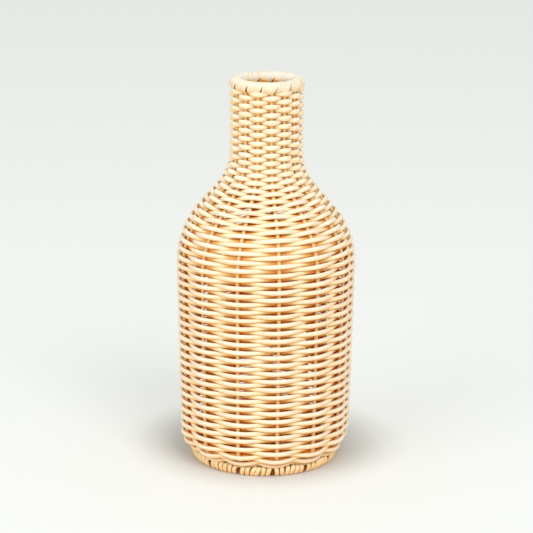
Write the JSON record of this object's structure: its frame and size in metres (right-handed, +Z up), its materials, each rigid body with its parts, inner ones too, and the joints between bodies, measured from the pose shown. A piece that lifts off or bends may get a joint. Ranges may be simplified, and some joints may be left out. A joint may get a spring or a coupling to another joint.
{
  "type": "rattan vase",
  "caption": "Bottle-shaped vase woven from round rattan core: straight body, rounded shoulder, slim neck with a bound rim, and a bound foot ring; holds dried stems.",
  "frame": {"origin": "on the table under the centre of the base", "axes": "+Z up along the vase's axis, front towards -Y"},
  "size_m": [0.1383, 0.1387, 0.3],
  "materials": {
    "weaver": "bare peeled rattan core, satin",
    "stake": "bare peeled rattan core, satin",
    "hoop": "bare peeled rattan core, matt",
    "binding": "flattened rattan core, satin"
  },
  "bodies": {
    "root": {"stake_rod_lower_1": "stake", "stake_rod_lower_2": "stake", "stake_rod_lower_3": "stake", "stake_rod_upper_1": "stake", "stake_rod_upper_2": "stake", "stake_rod_upper_3": "stake", "stake_rod_half": "stake", "weaver_01": "weaver", "weaver_02": "weaver", "weaver_03": "weaver", "weaver_04": "weaver", "weaver_05": "weaver", "weaver_06": "weaver", "weaver_07": "weaver", "weaver_08": "weaver", "weaver_09": "weaver", "weaver_10": "weaver", "weaver_11": "weaver", "weaver_12": "weaver", "weaver_13": "weaver", "weaver_14": "weaver", "weaver_15": "weaver", "weaver_16": "weaver", "weaver_17": "weaver", "weaver_18": "weaver", "weaver_19": "weaver", "weaver_20": "weaver", "weaver_21": "weaver", "weaver_22": "weaver", "weaver_23": "weaver", "weaver_24": "weaver", "weaver_25": "weaver", "weaver_26": "weaver", "weaver_27": "weaver", "weaver_28": "weaver", "rim_hoop": "hoop", "rim_binding": "binding", "foot_hoop": "hoop", "foot_binding_1": "binding", "foot_binding_2": "binding", "foot_binding_3": "binding"}
  },
  "joints": []
}
